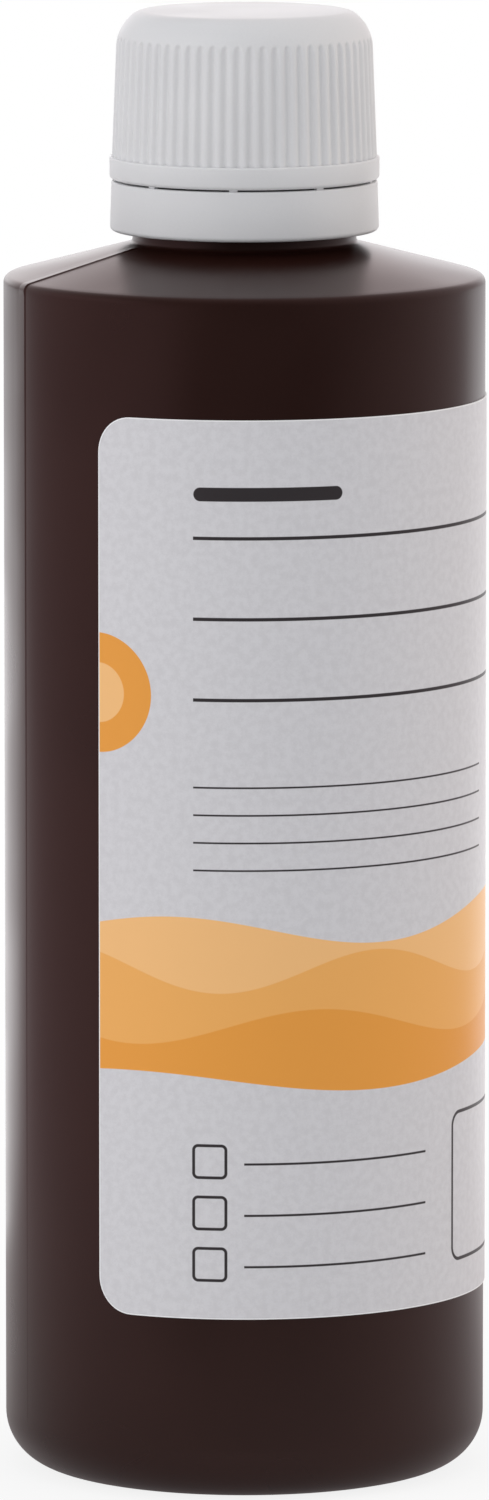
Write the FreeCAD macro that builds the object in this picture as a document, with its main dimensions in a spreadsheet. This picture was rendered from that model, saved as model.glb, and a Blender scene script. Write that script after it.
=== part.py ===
# Round blow-moulded bottle with a wraparound label, a ribbed screw cap and a tamper-evident ring.
# Millimetres, +Z up along the bottle's axis, origin in the middle of the base that it stands on.
# The mould halves part on the XZ plane, so the two parting lines run up the +X and -X sides.
import FreeCAD
import Part
import Sketcher
import math
import os

# Driving sizes, one spreadsheet cell each.
SIZES = {
    # Bottle body and base
    "body_diameter": 42.0,
    "body_height": 104.85,
    "body_wall": 1.1,
    "base_corner_radius": 4.7,
    "stand_ring_width": 2.3,
    "push_up_height": 1.6,
    "push_up_slope_run": 3.0,
    "push_up_radius": 2.0,
    "pinch_off_margin": 1.5,
    "pinch_off_width": 0.8,
    "pinch_off_height": 0.5,
    # Shoulder and neck
    "shoulder_angle": 14.7,
    "shoulder_corner_radius": 0.7,
    "neck_fillet_radius": 0.5,
    "neck_wall": 1.5,
    "thread_root_diameter": 17.6,
    "thread_depth": 1.05,
    "neck_step": 0.95,
    "rim_edge_radius": 0.4,
    # Locking bead that keeps the ring on the neck
    "locking_bead_height": 0.85,
    "locking_bead_land": 0.5,
    "locking_bead_slope": 1.7,
    "locking_bead_edge": 0.15,
    # Parting lines of the mould
    "parting_line_height": 0.1,
    "parting_line_width": 0.3,
    # Label
    "bare_strip_width": 24.0,
    "bare_strip_azimuth": 175.6,
    "label_foot_margin": 16.3,
    "label_top_margin": 10.35,
    "label_thickness": 0.12,
    "label_corner_radius": 3.2,
    "label_clearance": 0.6,
    # Tamper-evident ring and its bridges
    "ring_foot_clearance": 1.05,
    "ring_height": 4.35,
    "ring_wall": 0.68,
    "ring_taper": 0.14,
    "ring_bottom_edge": 0.4,
    "ring_top_edge": 0.15,
    "ring_catch_height": 0.9,
    "ring_catch_rise": 0.35,
    "ring_clearance": 0.3,
    "ring_gap": 0.15,
    "bridge_count": 9,
    "bridge_width": 0.7,
    "bridge_depth": 0.4,
    "bridge_inset": 0.2,
    # Cap and its liner
    "cap_height": 14.65,
    "cap_top_wall": 1.3,
    "cap_skirt_wall": 1.48,
    "cap_thread_clearance": 0.2,
    "cap_bead_height": 1.95,
    "cap_bead_step": 0.22,
    "cap_bead_edge": 0.35,
    "cap_draft_angle": 2.25,
    "cap_dome_side_radius": 3.8,
    "cap_dome_edge_radius": 1.8,
    "cap_dome_facet": 0.05,
    "flute_count": 64,
    "flute_depth": 0.3,
    "flute_width": 0.5,
    "flute_floor_width": 0.22,
    "flute_top_margin": 2.1,
    "liner_thickness": 1.0,
    "liner_clearance": 0.3,
    "liner_catch_depth": 0.55,
    "liner_catch_height": 0.6,
    "liner_catch_clearance": 0.15,
}

# Radii of the bottle.
BODY_RADIUS = "(Sizes.body_diameter / 2)"
INNER_RADIUS = f"({BODY_RADIUS} - Sizes.body_wall)"
STAND_RING_RADIUS = f"({BODY_RADIUS} - Sizes.base_corner_radius - Sizes.stand_ring_width)"
PUSH_UP_RADIUS = f"({STAND_RING_RADIUS} - Sizes.push_up_slope_run)"
THREAD_ROOT_RADIUS = "(Sizes.thread_root_diameter / 2)"
NECK_BORE_RADIUS = f"({THREAD_ROOT_RADIUS} - Sizes.neck_wall)"
NECK_RADIUS = f"({THREAD_ROOT_RADIUS} + Sizes.neck_step)"
LOCKING_BEAD_RADIUS = f"({NECK_RADIUS} + Sizes.locking_bead_height)"

# Radii of the ring and the cap, which go over the neck.
RING_BORE_RADIUS = f"({LOCKING_BEAD_RADIUS} + Sizes.ring_clearance)"
RING_CATCH_RADIUS = f"({NECK_RADIUS} + Sizes.ring_clearance)"
RING_TOP_RADIUS = f"({RING_BORE_RADIUS} + Sizes.ring_wall)"
RING_BOTTOM_RADIUS = f"({RING_TOP_RADIUS} + Sizes.ring_taper)"
CAP_BORE_RADIUS = f"({THREAD_ROOT_RADIUS} + Sizes.thread_depth + Sizes.cap_thread_clearance)"
CAP_SKIRT_RADIUS = f"({CAP_BORE_RADIUS} + Sizes.cap_skirt_wall)"
CAP_BEAD_RADIUS = f"({CAP_SKIRT_RADIUS} + Sizes.cap_bead_step)"
LINER_RADIUS = f"({CAP_BORE_RADIUS} - Sizes.liner_clearance)"
LINER_CATCH_RADIUS = f"({CAP_BORE_RADIUS} - Sizes.liner_catch_depth)"

# Heights of the shoulder, which slopes up to the foot of the neck at an even wall.
SHOULDER_RISE = "tan(Sizes.shoulder_angle)"
SHOULDER_DROP = "(Sizes.body_wall / cos(Sizes.shoulder_angle))"
NECK_FOOT = f"(Sizes.body_height + ({BODY_RADIUS} - {NECK_RADIUS}) * {SHOULDER_RISE})"
INNER_BODY_TOP = f"(Sizes.body_height + Sizes.body_wall * {SHOULDER_RISE} - {SHOULDER_DROP})"
INNER_NECK_FOOT = (
    f"(Sizes.body_height + ({BODY_RADIUS} - {NECK_BORE_RADIUS}) * {SHOULDER_RISE} - {SHOULDER_DROP})"
)

# Heights of the closure, stacked on the foot of the neck, and of the rim that it seals on.
RING_BOTTOM = f"({NECK_FOOT} + Sizes.ring_foot_clearance)"
RING_CATCH_BOTTOM = f"({RING_BOTTOM} + Sizes.ring_catch_rise)"
RING_CATCH_TOP = f"({RING_CATCH_BOTTOM} + Sizes.ring_catch_height)"
RING_TOP = f"({RING_BOTTOM} + Sizes.ring_height)"
LOCKING_BEAD_BOTTOM = f"({RING_CATCH_TOP} + Sizes.ring_clearance)"
LOCKING_BEAD_LAND_TOP = f"({LOCKING_BEAD_BOTTOM} + Sizes.locking_bead_land)"
LOCKING_BEAD_TOP = f"({LOCKING_BEAD_LAND_TOP} + Sizes.locking_bead_slope)"
CAP_BOTTOM = f"({RING_TOP} + Sizes.ring_gap)"
CAP_BEAD_TOP = f"({CAP_BOTTOM} + Sizes.cap_bead_height)"
CAP_TOP = f"({CAP_BOTTOM} + Sizes.cap_height)"
FLUTE_TOP = f"({CAP_TOP} - Sizes.flute_top_margin)"
CAP_CEILING = f"({CAP_TOP} - Sizes.cap_top_wall)"
RIM = f"({CAP_CEILING} - Sizes.liner_thickness)"
LINER_CATCH_TOP = f"({RIM} - Sizes.liner_catch_clearance)"
LINER_CATCH_BOTTOM = f"({LINER_CATCH_TOP} - Sizes.liner_catch_height)"

# The edge of the cap's top is two tangent arcs with a short 45 degree facet between them.
DOME_TRIM = "((Sizes.cap_dome_side_radius + Sizes.cap_dome_edge_radius) * tan(45 / 2))"
DOME_DROP = f"(({DOME_TRIM} + Sizes.cap_dome_facet) * sin(45))"
DOME_SIDE_HEIGHT = f"({CAP_TOP} - {DOME_DROP})"
CAP_TAPER = "tan(Sizes.cap_draft_angle)"
DOME_SIDE_RADIUS = f"({CAP_SKIRT_RADIUS} - ({DOME_SIDE_HEIGHT} - {CAP_BEAD_TOP}) * {CAP_TAPER})"
DOME_TOP_RADIUS = f"({DOME_SIDE_RADIUS} - {DOME_DROP})"

# The label, which covers the wall between its margins and all round but for a bare strip.
LABEL_BOTTOM = "Sizes.label_foot_margin"
LABEL_TOP = "(Sizes.body_height - Sizes.label_top_margin)"
LABEL_RADIUS = f"({BODY_RADIUS} + Sizes.label_thickness)"
LABEL_ANGLE = f"(360 - Sizes.bare_strip_width / {BODY_RADIUS} * 180 / pi)"


def make_sizes(doc):
    """Spreadsheet with one named cell for each driving size."""
    sheet = doc.addObject("Spreadsheet::Sheet", "Sizes")
    for row, (name, size) in enumerate(SIZES.items(), start=1):
        sheet.set(f"A{row}", name)
        sheet.set(f"B{row}", str(size))
        sheet.setAlias(f"B{row}", name)
    doc.recompute()


def origin_feature(body, role):
    """Origin plane or axis of a body."""
    return next(item for item in body.Origin.OriginFeatures if item.Role == role)


def new_body(doc, label):
    """Empty body, named after its sub-part."""
    body = doc.addObject("PartDesign::Body", label)
    body.Label = label
    return body


def new_sketch(body, name, plane, height=None):
    """Sketch on an origin plane of its body, raised by an expression where one is given."""
    sketch = body.newObject("Sketcher::SketchObject", name)
    sketch.AttachmentSupport = [(origin_feature(body, plane), "")]
    sketch.MapMode = "FlatFace"
    if height:
        sketch.setExpression("AttachmentOffset.Base.z", height)
    return sketch


def bind(sketch, constraint, expression):
    """Add a constraint whose value follows an expression."""
    index = sketch.addConstraint(constraint)
    sketch.setExpression(f"Constraints[{index}]", expression)


def place_point(sketch, geometry, end, across, up):
    """Hold a point of the sketch at two expressions, measured from the sketch's origin."""
    for kind, expression, axis in (("DistanceX", across, -2), ("DistanceY", up, -1)):
        distance = sketch.evalExpression(expression)
        if distance == 0:
            sketch.addConstraint(Sketcher.Constraint("PointOnObject", geometry, end, axis))
        elif distance > 0:
            bind(sketch, Sketcher.Constraint(kind, -1, 1, geometry, end, distance), expression)
        else:
            bind(sketch, Sketcher.Constraint(kind, geometry, end, -1, 1, -distance), f"-1 * ({expression})")


def draw_outline(sketch, corners):
    """Closed outline through (across, up, radius) corners; a radius of None leaves a corner sharp."""
    points = [
        FreeCAD.Vector(sketch.evalExpression(across), sketch.evalExpression(up), 0)
        for across, up, _ in corners
    ]
    arrive = list(points)
    leave = list(points)
    arcs = {}
    for index, (point, corner) in enumerate(zip(points, corners)):
        if corner[2] is None:
            continue
        back = (points[index - 1] - point).normalize()
        ahead = (points[(index + 1) % len(points)] - point).normalize()
        radius = sketch.evalExpression(corner[2])
        half_angle = back.getAngle(ahead) / 2
        trim = radius / math.tan(half_angle)
        arrive[index] = point + back * trim
        leave[index] = point + ahead * trim
        centre = point + (back + ahead).normalize() * (radius / math.sin(half_angle))
        turns_left = ahead.cross(back).z > 0
        first, last = (arrive[index], leave[index]) if turns_left else (leave[index], arrive[index])
        angles = [math.atan2((end - centre).y, (end - centre).x) for end in (first, last)]
        circle = Part.Circle(centre, FreeCAD.Vector(0, 0, 1), radius)
        arcs[index] = (Part.ArcOfCircle(circle, *angles), 1 if turns_left else 2)

    lines = [
        sketch.addGeometry(Part.LineSegment(leave[index], arrive[(index + 1) % len(points)]))
        for index in range(len(points))
    ]
    for index, (across, up, radius) in enumerate(corners):
        line_in, line_out = lines[index - 1], lines[index]
        if index not in arcs:
            sketch.addConstraint(Sketcher.Constraint("Coincident", line_in, 2, line_out, 1))
            place_point(sketch, line_out, 1, across, up)
            continue
        shape, first_end = arcs[index]
        arc = sketch.addGeometry(shape)
        corner = sketch.addGeometry(Part.Point(points[index]), True)
        sketch.addConstraint(Sketcher.Constraint("Tangent", line_in, 2, arc, first_end))
        sketch.addConstraint(Sketcher.Constraint("Tangent", arc, 3 - first_end, line_out, 1))
        sketch.addConstraint(Sketcher.Constraint("PointOnObject", corner, 1, line_in))
        sketch.addConstraint(Sketcher.Constraint("PointOnObject", corner, 1, line_out))
        place_point(sketch, corner, 1, across, up)
        bind(sketch, Sketcher.Constraint("Radius", arc, sketch.evalExpression(radius)), radius)


def revolve(body, name, corners, angle="360"):
    """Turn an outline, drawn as (radius, height), round the bottle's axis."""
    sketch = new_sketch(body, f"{name}_profile", "XZ_Plane")
    draw_outline(sketch, corners)
    turned = body.newObject("PartDesign::Revolution", name)
    turned.Profile = sketch
    turned.ReferenceAxis = (sketch, ["V_Axis"])
    turned.setExpression("Angle", angle)
    sketch.Visibility = False
    return turned


def pad(body, name, sketch, length, midplane=False):
    """Raise a closed sketch to a solid."""
    raised = body.newObject("PartDesign::Pad", name)
    raised.Profile = sketch
    raised.Midplane = midplane
    raised.setExpression("Length", length)
    sketch.Visibility = False
    return raised


def repeat_round_axis(body, name, feature, count):
    """Polar pattern of one feature round the bottle's axis."""
    pattern = body.newObject("PartDesign::PolarPattern", name)
    pattern.Originals = [feature]
    pattern.Axis = (origin_feature(body, "Z_Axis"), [""])
    pattern.Angle = 360
    pattern.setExpression("Occurrences", count)
    body.Tip = pattern
    return pattern


def make_bottle(doc):
    """Hollow body with a pushed-up base, sloping shoulder and neck finish."""
    body = new_body(doc, "bottle")
    push_up_top = "Sizes.push_up_height"
    inner_floor = "(Sizes.push_up_height + Sizes.body_wall)"
    inner_corner = "(Sizes.base_corner_radius - Sizes.body_wall)"
    revolve(body, "bottle_shell", [
        ("0", push_up_top, None),
        (PUSH_UP_RADIUS, push_up_top, "Sizes.push_up_radius"),
        (STAND_RING_RADIUS, "0", None),
        (BODY_RADIUS, "0", "Sizes.base_corner_radius"),
        (BODY_RADIUS, "Sizes.body_height", "Sizes.shoulder_corner_radius"),
        (NECK_RADIUS, NECK_FOOT, "Sizes.neck_fillet_radius"),
        (NECK_RADIUS, LOCKING_BEAD_BOTTOM, None),
        (LOCKING_BEAD_RADIUS, LOCKING_BEAD_BOTTOM, "Sizes.locking_bead_edge"),
        (LOCKING_BEAD_RADIUS, LOCKING_BEAD_LAND_TOP, "Sizes.locking_bead_edge"),
        (THREAD_ROOT_RADIUS, LOCKING_BEAD_TOP, None),
        (THREAD_ROOT_RADIUS, RIM, "Sizes.rim_edge_radius"),
        (NECK_BORE_RADIUS, RIM, "Sizes.rim_edge_radius"),
        (NECK_BORE_RADIUS, INNER_NECK_FOOT, "Sizes.neck_fillet_radius"),
        (INNER_RADIUS, INNER_BODY_TOP, "Sizes.shoulder_corner_radius"),
        (INNER_RADIUS, "Sizes.body_wall", inner_corner),
        (STAND_RING_RADIUS, "Sizes.body_wall", None),
        (PUSH_UP_RADIUS, inner_floor, "Sizes.push_up_radius"),
        ("0", inner_floor, None),
    ])

    weld = new_sketch(body, "pinch_off_outline", "XY_Plane", "Sizes.push_up_height - Sizes.pinch_off_height")
    weld_end = f"({PUSH_UP_RADIUS} - Sizes.pinch_off_margin)"
    weld_side = "(Sizes.pinch_off_width / 2)"
    draw_outline(weld, [
        (weld_end, weld_side, None),
        (f"-{weld_end}", weld_side, None),
        (f"-{weld_end}", f"-{weld_side}", None),
        (weld_end, f"-{weld_side}", None),
    ])
    pad(body, "pinch_off", weld, "Sizes.pinch_off_height + Sizes.body_wall / 2")
    add_parting_lines(body)
    return body


def add_parting_lines(body):
    """Fine ridges where the mould halves met: both sides, but flush under the label."""
    crest = f"({BODY_RADIUS} + Sizes.parting_line_height)"
    root = f"({BODY_RADIUS} - Sizes.body_wall / 2)"
    above_label = f"({LABEL_TOP} + Sizes.label_clearance)"
    below_label = f"({LABEL_BOTTOM} - Sizes.label_clearance)"
    lift = "(Sizes.parting_line_height / cos(Sizes.shoulder_angle))"
    crest_corner = f"(Sizes.body_height - Sizes.parting_line_height * {SHOULDER_RISE} + {lift})"
    root_corner = f"(Sizes.body_height + Sizes.body_wall / 2 * {SHOULDER_RISE} - {SHOULDER_DROP} / 2)"
    both = new_sketch(body, "parting_line_outline", "XZ_Plane")
    draw_outline(both, [
        (root, above_label, None),
        (crest, above_label, None),
        (crest, crest_corner, "Sizes.shoulder_corner_radius"),
        (NECK_RADIUS, f"({NECK_FOOT} + {lift})", None),
        (NECK_RADIUS, f"({NECK_FOOT} - {SHOULDER_DROP} / 2)", None),
        (root, root_corner, None),
    ])
    draw_outline(both, [
        (root, "Sizes.base_corner_radius", None),
        (crest, "Sizes.base_corner_radius", None),
        (crest, below_label, None),
        (root, below_label, None),
    ])
    right_side = pad(body, "parting_line", both, "Sizes.parting_line_width", midplane=True)
    left_side = body.newObject("PartDesign::Mirrored", "parting_line_left")
    left_side.Originals = [right_side]
    left_side.MirrorPlane = (origin_feature(body, "YZ_Plane"), [""])
    body.Tip = left_side

    bare = new_sketch(body, "bare_strip_outline", "XZ_Plane")
    draw_outline(bare, [
        (f"-{root}", below_label, None),
        (f"-{root}", above_label, None),
        (f"-{crest}", above_label, None),
        (f"-{crest}", below_label, None),
    ])
    pad(body, "bare_strip_line", bare, "Sizes.parting_line_width", midplane=True)


def make_label(doc):
    """One sheet round the body, with rounded corners, that leaves a bare strip at the -X side."""
    body = new_body(doc, "label")
    sheet = revolve(body, "label_sheet", [
        (BODY_RADIUS, LABEL_BOTTOM, None),
        (LABEL_RADIUS, LABEL_BOTTOM, None),
        (LABEL_RADIUS, LABEL_TOP, None),
        (BODY_RADIUS, LABEL_TOP, None),
    ], LABEL_ANGLE)
    sheet.Midplane = True

    # Each corner is cut square to the sheet, on the plane through the axis that holds the sheet's end.
    cuts = new_sketch(body, "label_corner_cuts", "YZ_Plane")
    cuts.AttachmentOffset = FreeCAD.Placement(FreeCAD.Vector(), FreeCAD.Rotation(FreeCAD.Vector(0, 1, 0), 1))
    cuts.setExpression("AttachmentOffset.Rotation.Angle", f"{LABEL_ANGLE} / 2")
    reach = "(Sizes.label_corner_radius + Sizes.label_clearance)"
    past = "Sizes.label_clearance"
    for edge, outwards in ((LABEL_TOP, "1"), (LABEL_BOTTOM, "-1")):
        draw_outline(cuts, [
            ("0", f"({edge} - {outwards} * {reach})", None),
            ("0", edge, "Sizes.label_corner_radius"),
            (f"-{reach}", edge, None),
            (f"-{reach}", f"({edge} + {outwards} * {past})", None),
            (past, f"({edge} + {outwards} * {past})", None),
            (past, f"({edge} - {outwards} * {reach})", None),
        ])
    cuts.Visibility = False
    corner_cut = body.newObject("PartDesign::Pocket", "label_corner_cut")
    corner_cut.Profile = cuts
    corner_cut.Reversed = True
    corner_cut.setExpression("Length", f"{LABEL_RADIUS} + Sizes.label_clearance")
    other_end = body.newObject("PartDesign::Mirrored", "label_other_end")
    other_end.Originals = [corner_cut]
    other_end.MirrorPlane = (origin_feature(body, "XZ_Plane"), [""])
    body.Tip = other_end
    body.Placement.Rotation = FreeCAD.Rotation(FreeCAD.Vector(0, 0, 1), 1)
    body.setExpression("Placement.Rotation.Angle", "Sizes.bare_strip_azimuth - 180")
    return body


def make_cap(doc):
    """Ribbed screw cap: a drafted skirt under a domed top, open below, with a catch for its liner."""
    body = new_body(doc, "cap")
    revolve(body, "cap_shell", [
        ("0", CAP_CEILING, None),
        ("0", CAP_TOP, None),
        (DOME_TOP_RADIUS, CAP_TOP, "Sizes.cap_dome_edge_radius"),
        (DOME_SIDE_RADIUS, DOME_SIDE_HEIGHT, "Sizes.cap_dome_side_radius"),
        (CAP_SKIRT_RADIUS, CAP_BEAD_TOP, None),
        (CAP_BEAD_RADIUS, CAP_BEAD_TOP, None),
        (CAP_BEAD_RADIUS, CAP_BOTTOM, "Sizes.cap_bead_edge"),
        (CAP_BORE_RADIUS, CAP_BOTTOM, None),
        (CAP_BORE_RADIUS, LINER_CATCH_BOTTOM, None),
        (LINER_CATCH_RADIUS, f"({LINER_CATCH_TOP} + {LINER_CATCH_BOTTOM}) / 2", None),
        (CAP_BORE_RADIUS, LINER_CATCH_TOP, None),
        (CAP_BORE_RADIUS, CAP_CEILING, None),
    ])

    section = new_sketch(body, "flute_section", "XY_Plane", FLUTE_TOP)
    crest = f"({CAP_SKIRT_RADIUS} - ({FLUTE_TOP} - {CAP_BEAD_TOP}) * {CAP_TAPER})"
    floor = f"({crest} - Sizes.flute_depth)"
    floor_side = "(Sizes.flute_floor_width / 2)"
    crest_side = "(Sizes.flute_width / 2)"
    draw_outline(section, [
        (floor, f"-{floor_side}", None),
        (crest, f"-{crest_side}", None),
        (CAP_BEAD_RADIUS, f"-{crest_side}", None),
        (CAP_BEAD_RADIUS, crest_side, None),
        (crest, crest_side, None),
        (floor, floor_side, None),
    ])
    section.Visibility = False

    flute = body.newObject("PartDesign::Pocket", "flute")
    flute.Profile = section
    flute.UseCustomVector = True
    flute.AlongSketchNormal = True
    flute.Direction = FreeCAD.Vector(0, 0, -1)
    flute.setExpression("Direction.x", "sin(Sizes.cap_draft_angle)")
    flute.setExpression("Direction.z", "-cos(Sizes.cap_draft_angle)")
    flute.setExpression("Length", f"{FLUTE_TOP} - {CAP_BEAD_TOP}")
    repeat_round_axis(body, "flutes", flute, "Sizes.flute_count")
    return body


def make_liner(doc):
    """Foam disc between the rim of the bottle and the inside of the cap."""
    liner = doc.addObject("Part::Cylinder", "cap_liner")
    liner.Label = "cap_liner"
    liner.setExpression("Radius", LINER_RADIUS)
    liner.setExpression("Height", "Sizes.liner_thickness")
    liner.setExpression("Placement.Base.z", RIM)
    return liner


def make_ring(doc):
    """Breakaway ring, whose inner catch sits under the locking bead of the neck."""
    body = new_body(doc, "tamper_ring")
    revolve(body, "ring_shell", [
        (RING_BORE_RADIUS, RING_TOP, None),
        (RING_BORE_RADIUS, RING_CATCH_TOP, None),
        (RING_CATCH_RADIUS, RING_CATCH_TOP, None),
        (RING_CATCH_RADIUS, RING_CATCH_BOTTOM, None),
        (RING_BORE_RADIUS, RING_BOTTOM, None),
        (RING_BOTTOM_RADIUS, RING_BOTTOM, "Sizes.ring_bottom_edge"),
        (RING_TOP_RADIUS, RING_TOP, "Sizes.ring_top_edge"),
    ])
    return body


def make_bridges(doc):
    """Thin bridges across the slit between the ring and the cap."""
    body = new_body(doc, "ring_bridges")
    body.AllowCompound = True
    section = new_sketch(body, "bridge_section", "XY_Plane", RING_TOP)
    outer = f"({RING_TOP_RADIUS} - Sizes.bridge_inset)"
    inner = f"({outer} - Sizes.bridge_depth)"
    side = "(Sizes.bridge_width / 2)"
    draw_outline(section, [
        (inner, f"-{side}", None),
        (outer, f"-{side}", None),
        (outer, side, None),
        (inner, side, None),
    ])
    bridge = pad(body, "bridge", section, "Sizes.ring_gap")
    repeat_round_axis(body, "bridges", bridge, "Sizes.bridge_count")
    return body


def check_document(doc, sub_parts):
    """Stop if anything failed to build."""
    for item in doc.Objects:
        if "Invalid" in item.State or "Error" in item.State:
            raise RuntimeError(f"{item.Name} did not build: {item.State}")
    for part in sub_parts:
        if part.Shape.isNull() or not part.Shape.isValid() or not part.Shape.Solids:
            raise RuntimeError(f"{part.Label} has no valid solid")


def main():
    doc = FreeCAD.newDocument("round_bottle")
    make_sizes(doc)
    makers = (make_bottle, make_label, make_cap, make_liner, make_ring, make_bridges)
    sub_parts = [make(doc) for make in makers]
    doc.recompute()
    check_document(doc, sub_parts)
    os.makedirs("parts", exist_ok=True)
    for part in sub_parts:
        part.Shape.exportStep(f"parts/{part.Label}.step")
        box = part.Shape.BoundBox
        print(
            f"{part.Label}: {len(part.Shape.Solids)} solids, {part.Shape.Volume:.1f} mm3, "
            f"z {box.ZMin:.2f} to {box.ZMax:.2f}"
        )


main()
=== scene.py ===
"""Studio view of a round brown plastic bottle with a wraparound label and a ribbed white screw cap.

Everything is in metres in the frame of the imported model: +Z up, the origin under the middle of the base.
"""
import bmesh
import bpy
import math
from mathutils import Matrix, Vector


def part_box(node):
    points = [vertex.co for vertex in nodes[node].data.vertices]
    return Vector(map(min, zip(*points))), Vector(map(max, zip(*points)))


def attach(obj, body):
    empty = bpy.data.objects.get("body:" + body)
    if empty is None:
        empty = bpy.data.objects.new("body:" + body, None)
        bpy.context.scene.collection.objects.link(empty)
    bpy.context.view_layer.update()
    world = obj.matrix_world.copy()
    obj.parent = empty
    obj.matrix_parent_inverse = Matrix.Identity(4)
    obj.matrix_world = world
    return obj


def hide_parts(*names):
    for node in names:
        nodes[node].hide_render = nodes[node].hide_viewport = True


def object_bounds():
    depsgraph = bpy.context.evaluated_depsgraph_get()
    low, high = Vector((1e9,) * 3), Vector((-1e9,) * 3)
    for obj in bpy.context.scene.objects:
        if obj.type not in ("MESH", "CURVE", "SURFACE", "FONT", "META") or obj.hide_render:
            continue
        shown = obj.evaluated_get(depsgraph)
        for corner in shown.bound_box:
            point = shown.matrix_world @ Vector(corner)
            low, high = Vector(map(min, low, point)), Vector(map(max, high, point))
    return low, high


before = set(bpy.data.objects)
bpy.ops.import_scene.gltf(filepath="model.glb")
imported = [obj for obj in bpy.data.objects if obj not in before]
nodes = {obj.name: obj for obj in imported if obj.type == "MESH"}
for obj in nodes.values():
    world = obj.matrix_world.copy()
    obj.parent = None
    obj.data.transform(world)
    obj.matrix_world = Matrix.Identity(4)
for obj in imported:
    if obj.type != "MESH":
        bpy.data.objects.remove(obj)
cad_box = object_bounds()

MM = 0.001

# Sizes of the bottle, its closure and its label: those of the CAD model, with softer parting lines and flutes,
# and with threads and small rounds added. Run-out and lag of the threads are in turns.
BODY = 21.0 * MM
BODY_HEIGHT = 104.85 * MM
WALL = 1.1 * MM
BASE_ROUND = 4.7 * MM
STAND_RING = 14.0 * MM
STAND_RING_ROUND = 0.4 * MM
PUSH_UP = 11.0 * MM
PUSH_UP_HEIGHT = 1.6 * MM
PUSH_UP_ROUND = 2.0 * MM
WELD_LENGTH = 19.0 * MM
WELD_WIDTH = 0.8 * MM
WELD_HEIGHT = 0.5 * MM
WELD_ROOT = 0.05 * MM
SHOULDER_SLOPE = math.radians(14.7)
SHOULDER_ROUND = 0.7 * MM
NECK_FILLET = 0.5 * MM
SEAM_HEIGHT = 0.1 * MM
SEAM_FRONT = 0.26 * MM
SEAM_BACK = 1.3 * MM
SEAM_STRETCH = 3.0
NECK = 9.75 * MM
NECK_BORE = 7.3 * MM
NECK_ROOT = 8.8 * MM
NECK_ROOT_ROUND = 0.3 * MM
RIM_ROUND = 0.4 * MM
LOCKING_BEAD = 10.6 * MM
LOCKING_BEAD_ROUND = 0.15 * MM
LOCKING_BEAD_LAND = 0.5 * MM
LOCKING_BEAD_SLOPE = 1.7 * MM
RING_BORE = 10.9 * MM
RING_CATCH = 10.05 * MM
RING_CATCH_RISE = 0.35 * MM
RING_CATCH_HEIGHT = 0.9 * MM
RING_CATCH_ROUND = 0.1 * MM
RING_CLEARANCE = 0.3 * MM
RING_TOP = 11.58 * MM
RING_FOOT = 11.72 * MM
RING_TOP_ROUND = 0.15 * MM
RING_FOOT_ROUND = 0.4 * MM
CAP_BORE = 10.05 * MM
CAP_BORE_ROUND = 0.12 * MM
CAP_SKIRT = 11.53 * MM
CAP_BEAD = 11.75 * MM
CAP_BEAD_HEIGHT = 1.95 * MM
CAP_BEAD_ROUND = 0.35 * MM
CAP_BEAD_TOP_ROUND = 0.14 * MM
CAP_TOP_WALL = 1.3 * MM
CAP_CEILING_ROUND = 0.15 * MM
CAP_DRAFT = math.radians(2.25)
DOME_SIDE_ROUND = 3.8 * MM
DOME_EDGE_ROUND = 1.8 * MM
DOME_FACET = 0.05 * MM
FLUTES = 64
FLUTE_DEPTH = 0.24 * MM
FLUTE_HALF_WIDTH = 0.5 * MM
FLUTE_END_ROUND = 0.4 * MM
FLUTE_TOP_MARGIN = 2.1 * MM
LINER_CATCH = 9.5 * MM
LINER_CATCH_HEIGHT = 0.6 * MM
LINER_CATCH_CLEARANCE = 0.15 * MM
LINER_CATCH_ROUND = 0.1 * MM
LINER_CATCH_FOOT_ROUND = 0.05 * MM
PITCH = 3.175 * MM
THREAD_RUN_OUT = 0.1
NECK_THREAD = 9.85 * MM
NECK_THREAD_WIDTH = 2.2 * MM
NECK_THREAD_TURNS = 1.5
NECK_THREAD_START = 118.0 * MM
CAP_THREAD = 9.1 * MM
CAP_THREAD_WIDTH = 1.5 * MM
CAP_THREAD_TURNS = 1.25
CAP_THREAD_LAG = 0.3
CAP_THREAD_DROP = 1.53 * MM
LABEL_THICKNESS = 0.12 * MM
LABEL_CORNER = 3.2 * MM
BARE_STRIP = 24.0 * MM
BARE_STRIP_ANGLE = math.radians(175.6)

# Steps and slacks of the meshes, and the soft edge of the print on the label's sheet, which is drawn in mm.
CORNER_STEP = 0.25 * MM
COLUMNS_PER_FLUTE = 12
INDEX_SLACK = 0.0001
MERGE_DISTANCE = 0.002 * MM
SLACK = 0.01 * MM
PRINT_EDGE = 0.03
WAVE_EDGE = 0.04


# Node trees

class Term:
    """A socket that is written like a number in a formula: each operation adds one Math node."""

    def __init__(self, tree, socket):
        self.tree = tree
        self.socket = socket

    def apply(self, operation, *others):
        node = self.tree.nodes.new("ShaderNodeMath")
        node.operation = operation
        for value, slot in zip((self, *others), node.inputs):
            connect(self.tree, value, slot)
        return Term(self.tree, node.outputs[0])

    def __add__(self, other):
        return self.apply("ADD", other)

    def __sub__(self, other):
        return self.apply("SUBTRACT", other)

    def __rsub__(self, other):
        return self.apply("MULTIPLY_ADD", -1.0, other)

    def __mul__(self, other):
        return self.apply("MULTIPLY", other)

    def __truediv__(self, other):
        return self.apply("DIVIDE", other)

    __radd__ = __add__


def connect(tree, value, socket):
    """Link a term or a socket, or set a plain number."""
    if isinstance(value, Term):
        tree.links.new(value.socket, socket)
    elif isinstance(value, bpy.types.NodeSocket):
        tree.links.new(value, socket)
    else:
        socket.default_value = value


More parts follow.
